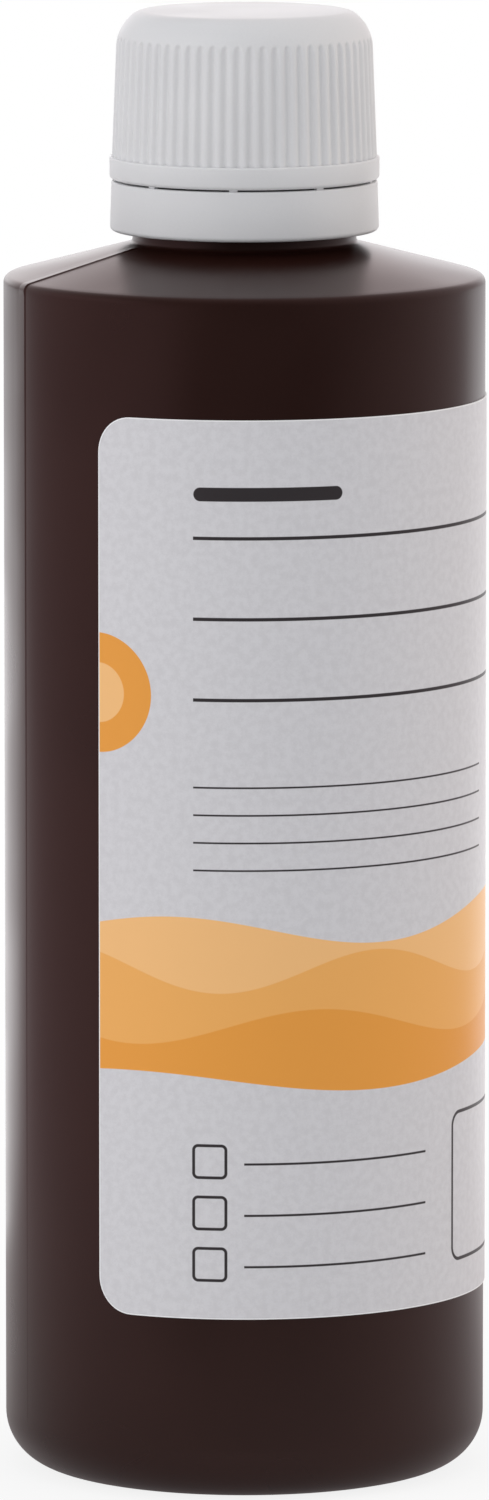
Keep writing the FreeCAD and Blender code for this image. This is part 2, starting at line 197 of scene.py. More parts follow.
def place(tree, kind, inputs=None, **options):
    """Add a node, choose its options, then fill its sockets."""
    node = tree.nodes.new(kind)
    for name, option in options.items():
        setattr(node, name, option)
    for name, value in (inputs or {}).items():
        connect(tree, value, node.inputs[name])
    return node


def new_tree(kind, name, inputs, outputs):
    """Node tree with named sockets; returns the tree, its inputs by name and its output node."""
    tree = bpy.data.node_groups.new(name, kind)
    for direction, sockets in (("INPUT", inputs), ("OUTPUT", outputs)):
        for socket_name, socket_type in sockets:
            tree.interface.new_socket(socket_name, in_out=direction, socket_type="NodeSocket" + socket_type)
    start = tree.nodes.new("NodeGroupInput")
    end = tree.nodes.new("NodeGroupOutput")
    given = {}
    for socket_name, socket_type in inputs:
        socket = start.outputs[socket_name]
        given[socket_name] = Term(tree, socket) if socket_type in ("Float", "Int") else socket
    return tree, given, end


def use_group(tree, group, inputs):
    """Add a node group, in a tree of its own kind, and fill its sockets."""
    kind = "GeometryNodeGroup" if tree.bl_idname == "GeometryNodeTree" else "ShaderNodeGroup"
    return place(tree, kind, inputs, node_tree=group)


def combine(tree, x, y, z):
    return place(tree, "ShaderNodeCombineXYZ", {"X": x, "Y": y, "Z": z}).outputs[0]


def separate(tree, vector):
    parts = place(tree, "ShaderNodeSeparateXYZ", {"Vector": vector})
    return [Term(tree, socket) for socket in parts.outputs]


def ramp(tree, value, low, high, at_low=0.0, at_high=1.0, smooth=True):
    """Value mapped from low..high to at_low..at_high and held there."""
    node = place(tree, "ShaderNodeMapRange", {
        "Value": value, "From Min": low, "From Max": high, "To Min": at_low, "To Max": at_high,
    }, interpolation_type="SMOOTHSTEP" if smooth else "LINEAR")
    return Term(tree, node.outputs[0])


# Pieces grown by Geometry Nodes

def grid_of_turns(tree, columns, rows):
    """Flat grid whose points know their column and row."""
    grid = place(tree, "GeometryNodeMeshGrid", {"Vertices X": columns + 1, "Vertices Y": rows})
    index = Term(tree, tree.nodes.new("GeometryNodeInputIndex").outputs[0])
    column = (index / rows + INDEX_SLACK).apply("FLOOR")
    row = index - column * rows
    return grid.outputs["Mesh"], column, row


def move_points(tree, mesh, position):
    return place(tree, "GeometryNodeSetPosition", {"Geometry": mesh, "Position": position}).outputs[0]


def weld(tree, mesh):
    return place(tree, "GeometryNodeMergeByDistance", {"Geometry": mesh, "Distance": MERGE_DISTANCE}).outputs[0]


def finish_mesh(tree, mesh, material, end, crease=40):
    """Smooth shading with creases kept, then the material, as the end of a tree."""
    smooth = place(tree, "GeometryNodeSetShadeSmooth", {0: mesh, "Shade Smooth": True}, domain="FACE")
    angle = Term(tree, tree.nodes.new("GeometryNodeInputMeshEdgeAngle").outputs["Unsigned Angle"])
    creased = place(tree, "GeometryNodeSetShadeSmooth", {
        0: smooth.outputs[0],
        "Selection": angle.apply("GREATER_THAN", math.radians(crease)),
        "Shade Smooth": False,
    }, domain="EDGE")
    realized = place(tree, "GeometryNodeRealizeInstances", {0: creased.outputs[0]})
    painted = place(tree, "GeometryNodeSetMaterial", {0: realized.outputs[0], "Material": material})
    tree.links.new(painted.outputs[0], end.inputs[0])


def make_turning_group():
    """Turns an outline of (radius, height) points round Z, with a round at each corner that asks for one.

    Side Crowding, from 0 to 1, draws the columns together at the +X and -X sides. The outline's "seam" marks
    stay on the mesh.
    """
    tree, given, end = new_tree(
        "GeometryNodeTree", "Turned outline",
        [("Outline", "Geometry"), ("Segments", "Int"), ("Corner Points", "Int"), ("Side Crowding", "Float")],
        [("Mesh", "Geometry")],
    )
    curve = place(tree, "GeometryNodeMeshToCurve", {0: given["Outline"]}).outputs[0]
    named = place(tree, "GeometryNodeInputNamedAttribute", {"Name": "corner_round"}, data_type="FLOAT")
    corner = Term(tree, named.outputs["Attribute"])
    count = corner.apply("GREATER_THAN", 0.0) * (given["Corner Points"] + corner / CORNER_STEP)
    rounded = place(tree, "GeometryNodeFilletCurve", {
        "Curve": curve, "Count": count, "Radius": corner, "Limit Radius": True,
    }, mode="POLY").outputs[0]
    size = place(tree, "GeometryNodeAttributeDomainSize", {0: rounded}, component="CURVE")
    rows = Term(tree, size.outputs["Point Count"])
    grid, column, row = grid_of_turns(tree, given["Segments"], rows)

    def along_outline(field):
        return place(tree, "GeometryNodeSampleIndex", {
            "Geometry": rounded, "Value": field, "Index": row,
        }, data_type="FLOAT_VECTOR", domain="POINT").outputs[0]

    here = tree.nodes.new("GeometryNodeInputPosition").outputs[0]
    radius, _, height = separate(tree, along_outline(here))
    marks = place(tree, "GeometryNodeInputNamedAttribute", {"Name": "seam"}, data_type="FLOAT_VECTOR")
    marked = place(tree, "GeometryNodeStoreNamedAttribute", {
        "Geometry": grid, "Name": "seam", "Value": along_outline(marks.outputs["Attribute"]),
    }, data_type="FLOAT_VECTOR", domain="POINT").outputs[0]
    even = column / given["Segments"] * math.tau
    turn = even - given["Side Crowding"] * 0.5 * (even * 2.0).apply("SINE")
    place_on_turn = combine(tree, radius * turn.apply("COSINE"), radius * turn.apply("SINE"), height)
    tree.links.new(weld(tree, move_points(tree, marked, place_on_turn)), end.inputs[0])
    return tree


def make_turned_tree(turning):
    """Plain turned piece."""
    tree, given, end = new_tree(
        "GeometryNodeTree", "Turned piece",
        [("Outline", "Geometry"), ("Segments", "Int"), ("Corner Points", "Int"), ("Material", "Material")],
        [("Mesh", "Geometry")],
    )
    shell = use_group(tree, turning, {name: given[name] for name in ("Outline", "Segments", "Corner Points")})
    finish_mesh(tree, shell.outputs[0], given["Material"], end)
    return tree


def make_blown_bottle_tree(turning):
    """Turned bottle with a fine ridge up each side, as high as the seam marks ask.

    It is steep in front and drawn out behind, further where it is low.
    """
    tree, given, end = new_tree(
        "GeometryNodeTree", "Blown bottle",
        [
            ("Outline", "Geometry"), ("Segments", "Int"), ("Corner Points", "Int"), ("Side Crowding", "Float"),
            ("Seam Height", "Float"), ("Seam Front", "Float"), ("Seam Back", "Float"), ("Material", "Material"),
        ],
        [("Mesh", "Geometry")],
    )
    shared = ("Outline", "Segments", "Corner Points", "Side Crowding")
    shell = use_group(tree, turning, {name: given[name] for name in shared})
    x, y, _ = separate(tree, tree.nodes.new("GeometryNodeInputPosition").outputs[0])
    marks = place(tree, "GeometryNodeInputNamedAttribute", {"Name": "seam"}, data_type="FLOAT_VECTOR")
    left, right, _ = separate(tree, marks.outputs["Attribute"])
    on_right = x.apply("GREATER_THAN", 0.0)
    marked = left + (right - left) * on_right
    back = given["Seam Back"] * (SEAM_STRETCH - marked * (SEAM_STRETCH - 1.0))
    behind = ramp(tree, y, 0.0, back, 1.0, 0.0, smooth=False)
    ridge = ramp(tree, y, given["Seam Front"] * -1.0, 0.0) * behind
    outwards = place(tree, "ShaderNodeVectorMath", {
        0: tree.nodes.new("GeometryNodeInputNormal").outputs[0], "Scale": given["Seam Height"] * marked * ridge,
    }, operation="SCALE").outputs["Vector"]
    raised = place(tree, "GeometryNodeSetPosition", {"Geometry": shell.outputs[0], "Offset": outwards})
    finish_mesh(tree, raised.outputs[0], given["Material"], end)
    return tree


def make_fluted_cap_tree(turning):
    """Turned cap whose tapered skirt is cut by even flutes with round upper ends."""
    tree, given, end = new_tree(
        "GeometryNodeTree", "Fluted cap",
        [
            ("Outline", "Geometry"), ("Segments", "Int"), ("Corner Points", "Int"), ("Flutes", "Int"),
            ("Flute Depth", "Float"), ("Flute Half Width", "Float"), ("Flute End Round", "Float"),
            ("Flute Top", "Float"), ("Skirt Radius", "Float"), ("Skirt Foot", "Float"),
            ("Skirt Taper", "Float"), ("Material", "Material"),
        ],
        [("Mesh", "Geometry")],
    )
    shell = use_group(tree, turning, {name: given[name] for name in ("Outline", "Segments", "Corner Points")})
    here = tree.nodes.new("GeometryNodeInputPosition").outputs[0]
    x, y, z = separate(tree, here)
    radius = (x * x + y * y).apply("SQRT")
    turn = y.apply("ARCTAN2", x) / math.tau
    off_middle = (turn * given["Flutes"] + 0.5).apply("FRACT") - 0.5
    across = off_middle * (given["Skirt Radius"] * math.tau / given["Flutes"])
    past_end = (z - given["Flute Top"] + given["Flute End Round"]).apply("MAXIMUM", 0.0)
    from_middle = (across * across + past_end * past_end).apply("SQRT")
    flute = ramp(tree, from_middle, 0.0, given["Flute Half Width"], 1.0, 0.0)
    skirt = given["Skirt Radius"] - (z - given["Skirt Foot"]) * given["Skirt Taper"]
    cut = radius.apply("MINIMUM", skirt - given["Flute Depth"] * flute)
    on_skirt = z.apply("GREATER_THAN", given["Skirt Foot"] - SLACK)
    on_skirt = on_skirt * radius.apply("LESS_THAN", given["Skirt Radius"] + SLACK)
    factor = 1.0 + on_skirt * (cut / radius.apply("MAXIMUM", SLACK) - 1.0)
    moved = move_points(tree, shell.outputs[0], combine(tree, x * factor, y * factor, z))
    finish_mesh(tree, moved, given["Material"], end, crease=50)
    return tree


def make_thread_tree():
    """Rounded helical ridge on a cylinder, outwards or inwards, that runs out at both ends."""
    tree, given, end = new_tree(
        "GeometryNodeTree", "Thread ridge",
        [
            ("Host", "Geometry"), ("Root Radius", "Float"), ("Crest Radius", "Float"), ("Width", "Float"),
            ("Pitch", "Float"), ("Turns", "Float"), ("Start Angle", "Float"), ("Start Height", "Float"),
            ("Run Out", "Float"), ("Steps", "Int"), ("Material", "Material"),
        ],
        [("Mesh", "Geometry")],
    )
    section_points = 16
    sunk_share = 0.2
    rows = place(tree, "FunctionNodeInputInt", integer=section_points + 1).outputs[0]
    grid, column, row = grid_of_turns(tree, given["Steps"], Term(tree, rows))
    along = column / given["Steps"] * given["Turns"]
    to_end = along.apply("MINIMUM", given["Turns"] - along)
    swell = ramp(tree, to_end, 0.0, given["Run Out"])
    round_section = row * (math.tau / section_points)
    depth = given["Crest Radius"] - given["Root Radius"]
    rise = round_section.apply("COSINE")
    rise = rise.apply("MAXIMUM", rise * sunk_share)
    radius = given["Root Radius"] + depth * rise * swell
    across = round_section.apply("SINE") * depth.apply("SIGN") * given["Width"] * 0.5 * swell
    turn = given["Start Angle"] + along * math.tau
    height = given["Start Height"] + along * given["Pitch"] + across
    point = combine(tree, radius * turn.apply("COSINE"), radius * turn.apply("SINE"), height)
    finish_mesh(tree, weld(tree, move_points(tree, grid, point)), given["Material"], end, crease=80)
    return tree


def make_label_tree():
    """Sheet with rounded corners bent round a cylinder; its points keep their place on the flat sheet; mm."""
    tree, given, end = new_tree(
        "GeometryNodeTree", "Wrapped label",
        [
            ("Host", "Geometry"), ("Wrap Radius", "Float"), ("Length", "Float"), ("Height", "Float"),
            ("Foot", "Float"), ("Start Angle", "Float"), ("Corner", "Float"), ("Thickness", "Float"),
            ("Columns", "Int"), ("Corner Columns", "Int"), ("Rows", "Int"), ("Material", "Material"),
        ],
        [("Mesh", "Geometry")],
    )
    grid, column, row = grid_of_turns(tree, given["Columns"], given["Rows"])
    half = given["Columns"] * 0.5
    from_end = column.apply("MINIMUM", given["Columns"] - column)
    bend = (from_end / given["Corner Columns"]).apply("MINIMUM", 1.0) * (math.pi / 2)
    past_corner = (from_end - given["Corner Columns"]).apply("MAXIMUM", 0.0)
    straight = past_corner / (half - given["Corner Columns"])
    inset = given["Corner"] * (1.0 - bend.apply("COSINE"))
    inset = inset + straight * (given["Length"] * 0.5 - given["Corner"])
    drop = given["Corner"] * (1.0 - bend.apply("SINE"))
    along = given["Length"] * 0.5 + (column - half).apply("SIGN") * (given["Length"] * 0.5 - inset)
    share = row / (given["Rows"] - 1.0) - 0.5
    up = given["Height"] * 0.5 + share * (given["Height"] - drop * 2.0)
    kept = place(tree, "GeometryNodeStoreNamedAttribute", {
        "Geometry": grid, "Name": "label_place", "Value": combine(tree, along / MM, up / MM, 0.0),
    }, data_type="FLOAT_VECTOR", domain="POINT").outputs[0]
    turn = given["Start Angle"] + along / given["Wrap Radius"]
    point = combine(
        tree, given["Wrap Radius"] * turn.apply("COSINE"), given["Wrap Radius"] * turn.apply("SINE"),
        given["Foot"] + up,
    )
    sheet = move_points(tree, kept, point)
    raised = place(tree, "GeometryNodeExtrudeMesh", {
        "Mesh": sheet, "Offset Scale": given["Thickness"], "Individual": False,
    }, mode="FACES")
    edged = place(tree, "GeometryNodeStoreNamedAttribute", {
        "Geometry": raised.outputs["Mesh"], "Selection": raised.outputs["Side"],
        "Name": "cut_edge", "Value": 1.0,
    }, data_type="FLOAT", domain="FACE").outputs[0]
    underside = place(tree, "GeometryNodeFlipFaces", {0: sheet}).outputs[0]
    both = tree.nodes.new("GeometryNodeJoinGeometry")
    tree.links.new(edged, both.inputs[0])
    tree.links.new(underside, both.inputs[0])
    finish_mesh(tree, weld(tree, both.outputs[0]), given["Material"], end)
    return tree


def outline_mesh(name, corners):
    """Chain of (radius, height, round) corners to be turned; a corner may add its left and right seam."""
    mesh = bpy.data.meshes.new(name)
    points = [(radius, 0.0, height) for radius, height, *_ in corners]
    mesh.from_pydata(points, [(i, i + 1) for i in range(len(corners) - 1)], [])
    rounds = mesh.attributes.new("corner_round", "FLOAT", "POINT")
    rounds.data.foreach_set("value", [corner[2] for corner in corners])
    seams = mesh.attributes.new("seam", "FLOAT_VECTOR", "POINT")
    for mark, corner in zip(seams.data, corners):
        left, right = corner[3:] or (0.0, 0.0)
        mark.vector = (left, right, 0.0)
    return mesh


def grow(name, tree, values, host=None):
    """Run a tree on a host mesh and keep the result as a plain mesh object."""
    piece = bpy.data.objects.new(name, host or bpy.data.meshes.new(name))
    bpy.context.scene.collection.objects.link(piece)
    modifier = piece.modifiers.new(name, "NODES")
    modifier.node_group = tree
    sockets = [item for item in tree.interface.items_tree if item.in_out == "INPUT"]
    identifiers = {socket.name: socket.identifier for socket in sockets}
    for socket_name, value in values.items():
        modifier[identifiers[socket_name]] = value
    depsgraph = bpy.context.evaluated_depsgraph_get()
    mesh = bpy.data.meshes.new_from_object(piece.evaluated_get(depsgraph), depsgraph=depsgraph)
    piece.modifiers.remove(modifier)
    spent = piece.data
    piece.data = mesh
    mesh.name = name
    bpy.data.meshes.remove(spent)
    return piece


# Shared surface effects

def make_grain_group():
    """Fine moulded grain over a slow unevenness, both between 0 and 1."""
    tree, given, end = new_tree(
        "ShaderNodeTree", "Moulded grain",
        [("Vector", "Vector"), ("Grain Size", "Float"), ("Wave Size", "Float")],
        [("Grain", "Float"), ("Unevenness", "Float")],
    )
    for output, size, detail in (("Grain", "Grain Size", 2.0), ("Unevenness", "Wave Size", 1.0)):
        noise = place(tree, "ShaderNodeTexNoise", {
            "Vector": given["Vector"], "Scale": given[size].apply("POWER", -1.0), "Detail": detail,
            "Roughness": 0.55,
        })
        connect(tree, noise.outputs[0], end.inputs[output])
    return tree


def make_patch_group():
    """Mask of a rounded patch on a sheet, filled, or drawn as a line where Line is above 0; mm."""
    tree, given, end = new_tree(
        "ShaderNodeTree", "Printed patch",
        [(name, "Float") for name in ("U", "V", "Left", "Right", "Bottom", "Top", "Corner", "Line")],
        [("Mask", "Float"), ("Distance", "Float")],
    )
    beyond = []
    for position, low, high in (("U", "Left", "Right"), ("V", "Bottom", "Top")):
        middle = (given[low] + given[high]) * 0.5
        half = (given[high] - given[low]) * 0.5
        beyond.append((given[position] - middle).apply("ABSOLUTE") - half + given["Corner"])
    out_u, out_v = (part.apply("MAXIMUM", 0.0) for part in beyond)
    inside = beyond[0].apply("MAXIMUM", beyond[1]).apply("MINIMUM", 0.0)
    distance = (out_u * out_u + out_v * out_v).apply("SQRT") + inside - given["Corner"]
    filled = ramp(tree, distance, -PRINT_EDGE, PRINT_EDGE, 1.0, 0.0)
    off_line = distance.apply("ABSOLUTE") - given["Line"] * 0.5
    ring = ramp(tree, off_line, -PRINT_EDGE, PRINT_EDGE, 1.0, 0.0)
    drawn = given["Line"].apply("GREATER_THAN", 0.0)
    mask = filled + (ring - filled) * drawn
    tree.links.new(mask.socket, end.inputs["Mask"])
    tree.links.new(distance.socket, end.inputs["Distance"])
    return tree


def make_rules_group():
    """Mask of even ruled lines inside a field of a sheet; mm."""
    tree, given, end = new_tree(
        "ShaderNodeTree", "Ruled lines",
        [(name, "Float") for name in ("U", "V", "Left", "Right", "Bottom", "Top", "Spacing", "Thickness")],
        [("Mask", "Float")],
    )
    step = ((given["V"] - given["Bottom"]) / given["Spacing"] + 0.5).apply("FRACT") - 0.5
    line = step.apply("ABSOLUTE") * given["Spacing"] - given["Thickness"] * 0.5
    mask = ramp(tree, line, -PRINT_EDGE, PRINT_EDGE, 1.0, 0.0)
    for position, low, high in (("U", "Left", "Right"), ("V", "Bottom", "Top")):
        reach = given["Thickness"] if position == "V" else PRINT_EDGE
        mask = mask * (given[position] + reach).apply("GREATER_THAN", given[low])
        mask = mask * (given[position] - reach).apply("LESS_THAN", given[high])
    tree.links.new(mask.socket, end.inputs["Mask"])
    return tree


def make_wave_group():
    """Mask of everything on a sheet that lies under a wavy line; mm."""
    tree, given, end = new_tree(
        "ShaderNodeTree", "Wave layer",
        [(name, "Float") for name in ("U", "V", "Level", "Swing", "Length", "Phase")],
        [("Mask", "Float")],
    )
    wave = (given["U"] / given["Length"] * math.tau + given["Phase"]).apply("SINE")
    crest = given["Level"] + given["Swing"] * wave
    mask = ramp(tree, given["V"] - crest, -WAVE_EDGE, WAVE_EDGE, 1.0, 0.0)
    tree.links.new(mask.socket, end.inputs["Mask"])
    return tree


# Materials

def new_material(name):
    material = bpy.data.materials.new(name)
    material.use_nodes = True
    tree = material.node_tree
    shader = tree.nodes["Principled BSDF"]
    return material, tree, shader


def mix_colours(tree, factor, first, second):
    node = place(tree, "ShaderNodeMix", data_type="RGBA")
    for name, value in (("Factor_Float", factor), ("A_Color", first), ("B_Color", second)):
        socket = next(item for item in node.inputs if item.identifier == name)
        connect(tree, value, socket)
    return next(item for item in node.outputs if item.identifier == "Result_Color")


def bump(tree, height, distance, strength, under=None):
    node = place(tree, "ShaderNodeBump", {"Height": height, "Distance": distance, "Strength": strength})
    if under:
        tree.links.new(under, node.inputs["Normal"])
    return node.outputs[0]


def moulded_plastic(name, grain, light, dark, roughness, grain_size, wave_size, depth):
    """Satin moulded plastic: a slow change of tone and gloss under a fine grain."""
    material, tree, shader = new_material(name)
    place_on_piece = tree.nodes.new("ShaderNodeTexCoord").outputs["Object"]
    surface = use_group(tree, grain, {
        "Vector": place_on_piece, "Grain Size": grain_size, "Wave Size": wave_size,
    })
    uneven = Term(tree, surface.outputs["Unevenness"])
    fine = Term(tree, surface.outputs["Grain"])
    tone = ramp(tree, uneven * 0.7 + fine * 0.3, 0.35, 0.65)
    connect(tree, mix_colours(tree, tone, dark, light), shader.inputs["Base Color"])
    connect(tree, ramp(tree, uneven, 0.3, 0.7, *roughness), shader.inputs["Roughness"])
    slow = bump(tree, uneven, 0.02 * MM, 0.35)
    connect(tree, bump(tree, fine, depth, 0.5, slow), shader.inputs["Normal"])
    return material, shader


def make_brown_plastic(grain):
    material, shader = moulded_plastic(
        "brown_blown_plastic", grain, light=(0.0205, 0.0066, 0.0048, 1), dark=(0.0165, 0.0052, 0.0038, 1),
        roughness=(0.27, 0.33), grain_size=0.22 * MM, wave_size=14 * MM, depth=0.006 * MM,
    )
    shader.inputs["Specular IOR Level"].default_value = 0.45
    shader.inputs["Specular Tint"].default_value = (1.0, 0.8, 0.78, 1)
    return material


def make_white_plastic(grain):
    material, shader = moulded_plastic(
        "white_moulded_plastic", grain, light=(0.70, 0.70, 0.712, 1), dark=(0.675, 0.675, 0.688, 1),
        roughness=(0.38, 0.46), grain_size=0.18 * MM, wave_size=9 * MM, depth=0.008 * MM,
    )
    shader.inputs["Specular IOR Level"].default_value = 0.25
    shader.inputs["Subsurface Weight"].default_value = 0.12
    shader.inputs["Subsurface Radius"].default_value = (1.0, 0.95, 0.9)
    shader.inputs["Subsurface Scale"].default_value = 0.8 * MM
    return material


def make_liner_foam(grain):
    """Closed-cell foam disc with small dimpled cells."""
    material, tree, shader = new_material("liner_foam")
    place_on_piece = tree.nodes.new("ShaderNodeTexCoord").outputs["Object"]
    cell_size = 0.35 * MM
    cells = place(tree, "ShaderNodeTexVoronoi", {"Vector": place_on_piece, "Scale": 1 / cell_size})
    surface = use_group(tree, grain, {"Vector": place_on_piece, "Grain Size": 0.12 * MM, "Wave Size": 5 * MM})
    tone = ramp(tree, Term(tree, cells.outputs["Distance"]), 0.0, 0.7)
    colour = mix_colours(tree, tone, (0.80, 0.80, 0.77, 1), (0.70, 0.70, 0.67, 1))
    connect(tree, colour, shader.inputs["Base Color"])
    dullness = ramp(tree, Term(tree, surface.outputs["Unevenness"]), 0.3, 0.7, 0.82, 0.92)
    connect(tree, dullness, shader.inputs["Roughness"])
    connect(tree, bump(tree, cells.outputs["Distance"], 0.04 * MM, 0.6), shader.inputs["Normal"])
    return material


def make_label_print(grain):
    """Pale label stock with write-in rules and boxes, a round tab and a band of layered waves; mm."""
    material, tree, shader = new_material("label_print")
    flat = place(tree, "ShaderNodeAttribute", attribute_name="label_place").outputs["Vector"]
    u, v, _ = separate(tree, flat)
    cut = Term(tree, place(tree, "ShaderNodeAttribute", attribute_name="cut_edge").outputs["Fac"])
    patch, rules, wave = make_patch_group(), make_rules_group(), make_wave_group()
    pale, middle, deep = (0.88, 0.50, 0.20, 1), (0.84, 0.41, 0.105, 1), (0.79, 0.325, 0.045, 1)
    # The second tone here is the paler one drawn on the cut edge of the sheet and a hair beside it.
    ink, edge_tone = (0.032, 0.027, 0.03, 1), (0.82, 0.82, 0.83, 1)
    edge_band = 0.1

    def printed(group, *rows):
        """Joined masks of a group, one for each row of values for its sockets after U and V."""
        joined = None
        for row in rows:
            node = use_group(tree, group, {"U": u, "V": v})
            for value, socket in zip(row, node.inputs[2:]):
                socket.default_value = value
            mask = Term(tree, node.outputs["Mask"])
            joined = mask if joined is None else joined.apply("MAXIMUM", mask)
        return joined

    surface = use_group(tree, grain, {"Vector": flat, "Grain Size": 0.16, "Wave Size": 0.7})
    fibre = Term(tree, surface.outputs["Grain"])
    mottle = Term(tree, surface.outputs["Unevenness"])
    tone = ramp(tree, fibre * 0.4 + mottle * 0.6, 0.35, 0.65)
    colour = mix_colours(tree, tone, (0.595, 0.588, 0.612, 1), (0.645, 0.64, 0.665, 1))

    # Waves as (level, swing, length, phase), the palest at the back, cut off along a wavy foot.
    foot = 1.0 - printed(wave, (20.6, 0.9, 43.0, 1.0))
    layers = (
        ((33.8, 1.3, 37.0, 0.3), pale),
        ((30.2, 1.7, 28.0, 2.2), middle),
        ((25.4, 1.6, 33.0, 4.1), deep),
    )
    for row, tint in layers:
        colour = mix_colours(tree, printed(wave, row) * foot, colour, tint)

    # A round tab with a pale core, halved by the end of the sheet, as (left, right, bottom, top, corner, line).
    colour = mix_colours(tree, printed(patch, (-5.2, 5.2, 49.0, 59.4, 5.2, 0.0)), colour, deep)
    colour = mix_colours(tree, printed(patch, (-2.6, 2.6, 51.6, 56.8, 2.6, 0.0)), colour, pale)

    # Rules as (left, right, bottom, top, spacing, thickness), then boxes and bars in the tab's order.
    lines = printed(
        rules,
        (9.0, 45.0, 54.0, 68.0, 7.0, 0.3),
        (9.0, 41.0, 39.2, 46.4, 2.4, 0.16),
        (13.4, 31.0, 4.6, 13.6, 4.5, 0.2),
        (52.0, 100.0, 39.2, 68.0, 3.2, 0.16),
        (52.0, 86.0, 4.6, 16.6, 3.0, 0.16),
    )
    boxes = printed(
        patch,
        (9.0, 11.8, 3.4, 6.2, 0.4, 0.26),
        (9.0, 11.8, 7.9, 10.7, 0.4, 0.26),
        (9.0, 11.8, 12.4, 15.2, 0.4, 0.26),
        (9.0, 22.0, 71.2, 72.4, 0.6, 0.0),
        (52.0, 65.0, 71.2, 72.4, 0.6, 0.0),
        (35.0, 47.0, 3.4, 16.4, 1.2, 0.3),
    )
    colour = mix_colours(tree, lines.apply("MAXIMUM", boxes), colour, ink)

    # The cut edge of the sheet and a hair of the sheet beside it, drawn in a paler tone than the stock.
    border = use_group(tree, patch, {
        "U": u, "V": v, "Left": 0.0, "Right": label_length / MM, "Bottom": 0.0, "Top": label_height / MM,
        "Corner": LABEL_CORNER / MM,
    })
    to_edge = Term(tree, border.outputs["Distance"]) + edge_band
    margin = ramp(tree, to_edge, -PRINT_EDGE, PRINT_EDGE)
    colour = mix_colours(tree, margin.apply("MAXIMUM", cut), colour, edge_tone)
    connect(tree, colour, shader.inputs["Base Color"])
    connect(tree, ramp(tree, fibre, 0.3, 0.7, 0.40, 0.48), shader.inputs["Roughness"])
    connect(tree, bump(tree, fibre, 0.006 * MM, 0.4), shader.inputs["Normal"])
    shader.inputs["Specular IOR Level"].default_value = 0.4
    return material


def make_floor_paint(backdrop):
    """Pale studio floor that keeps the bottle's shadow, fades to white further out and is clear from below.

    In a gloss each point shows the backdrop that lies beyond it.
    """
    material, tree, shader = new_material("studio_floor")
    shader.inputs["Roughness"].default_value = 0.9
    shader.inputs["Specular IOR Level"].default_value = 0.1
    place_on_floor = tree.nodes.new("ShaderNodeTexCoord").outputs["Object"]
    x, y, _ = separate(tree, place_on_floor)
    noise = place(tree, "ShaderNodeTexNoise", {"Vector": place_on_floor, "Scale": 3.0})
    tone = mix_colours(tree, noise.outputs[0], (0.90, 0.90, 0.90, 1), (0.92, 0.92, 0.92, 1))
    connect(tree, tone, shader.inputs["Base Color"])
    reach = (x * x + y * y).apply("SQRT")
    nearest, spread = 0.16, 1.35
    span = reach.apply("MAXIMUM", nearest) / spread
    camera, seen, colour = backdrop_light(tree, backdrop, combine(tree, x / span, y / span, 0.0))
    strength = camera.apply("MAXIMUM", ramp(tree, reach, 0.4, 0.95, 1.0, 0.58))
    glow = place(tree, "ShaderNodeEmission", {"Color": colour, "Strength": strength})
    to_camera = ramp(tree, reach, 0.03, 0.45, 0.85, 1.0)
    in_gloss = ramp(tree, reach, 0.05, 0.25, 0.62, 1.0)
    share = camera * to_camera + (seen - camera) * in_gloss
    lit = place(tree, "ShaderNodeMixShader", {"Fac": share, 1: shader.outputs[0], 2: glow.outputs[0]})
    below = tree.nodes.new("ShaderNodeNewGeometry").outputs["Backfacing"]
    clear = tree.nodes.new("ShaderNodeBsdfTransparent")
    mixed = place(tree, "ShaderNodeMixShader", {"Fac": below, 1: lit.outputs[0], 2: clear.outputs[0]})
    tree.links.new(mixed.outputs[0], tree.nodes["Material Output"].inputs["Surface"])
    return material


# Studio

CAMERA_AZIMUTH = math.radians(-25.1)
CAMERA_DISTANCE = 1161.6 * MM
CAMERA_HEIGHT = 223.9 * MM
CAMERA_TARGET = (0, 0, 63.1 * MM)
LAMP_TARGET = (0, 0, 70 * MM)
FLOOR_REACH = 12.0
FLOOR_DROP = 0.02 * MM


def around(degrees_right, distance, height):
    """Point at an angle to the right of the camera, seen from above the bottle."""
    angle = CAMERA_AZIMUTH + math.radians(degrees_right)
    return Vector((distance * math.sin(angle), -distance * math.cos(angle), height))


def make_backdrop_group():
    """Colour of the studio in a direction: bright beyond the bottle, warm at the left, dim behind the camera."""
    tree, given, end = new_tree(
        "ShaderNodeTree", "Backdrop tone", [("Vector", "Vector")], [("Colour", "Color")],
    )
    x, y, z = separate(tree, given["Vector"])

    def towards(degrees_right):
        direction = around(degrees_right, 1.0, 0.0)
        return x * direction.x + y * direction.y

    room = ramp(tree, towards(165), -0.9, 0.9, smooth=False)
    colour = mix_colours(tree, room, (0.09, 0.072, 0.07, 1), (0.74, 0.65, 0.66, 1))
    left_wall = ramp(tree, towards(-84), 0.6, 1.0)
    screen = ramp(tree, towards(180), 0.86, 1.0)
    screen_left = ramp(tree, towards(-165), 0.9, 1.0) * ramp(tree, z, 0.02, 0.14)
    screen_top = ramp(tree, towards(180), 0.76, 0.95) * ramp(tree, z, 0.15, 0.4)
    for mask, tint in (
        (left_wall, (0.62, 0.46, 0.48, 1)),
        (screen, (1.9, 1.86, 1.89, 1)),
        (screen_left, (2.15, 2.1, 2.12, 1)),
        (screen_top, (1.75, 1.54, 1.55, 1)),
    ):
        colour = mix_colours(tree, mask, colour, tint)
    tree.links.new(colour, end.inputs["Colour"])
    return tree


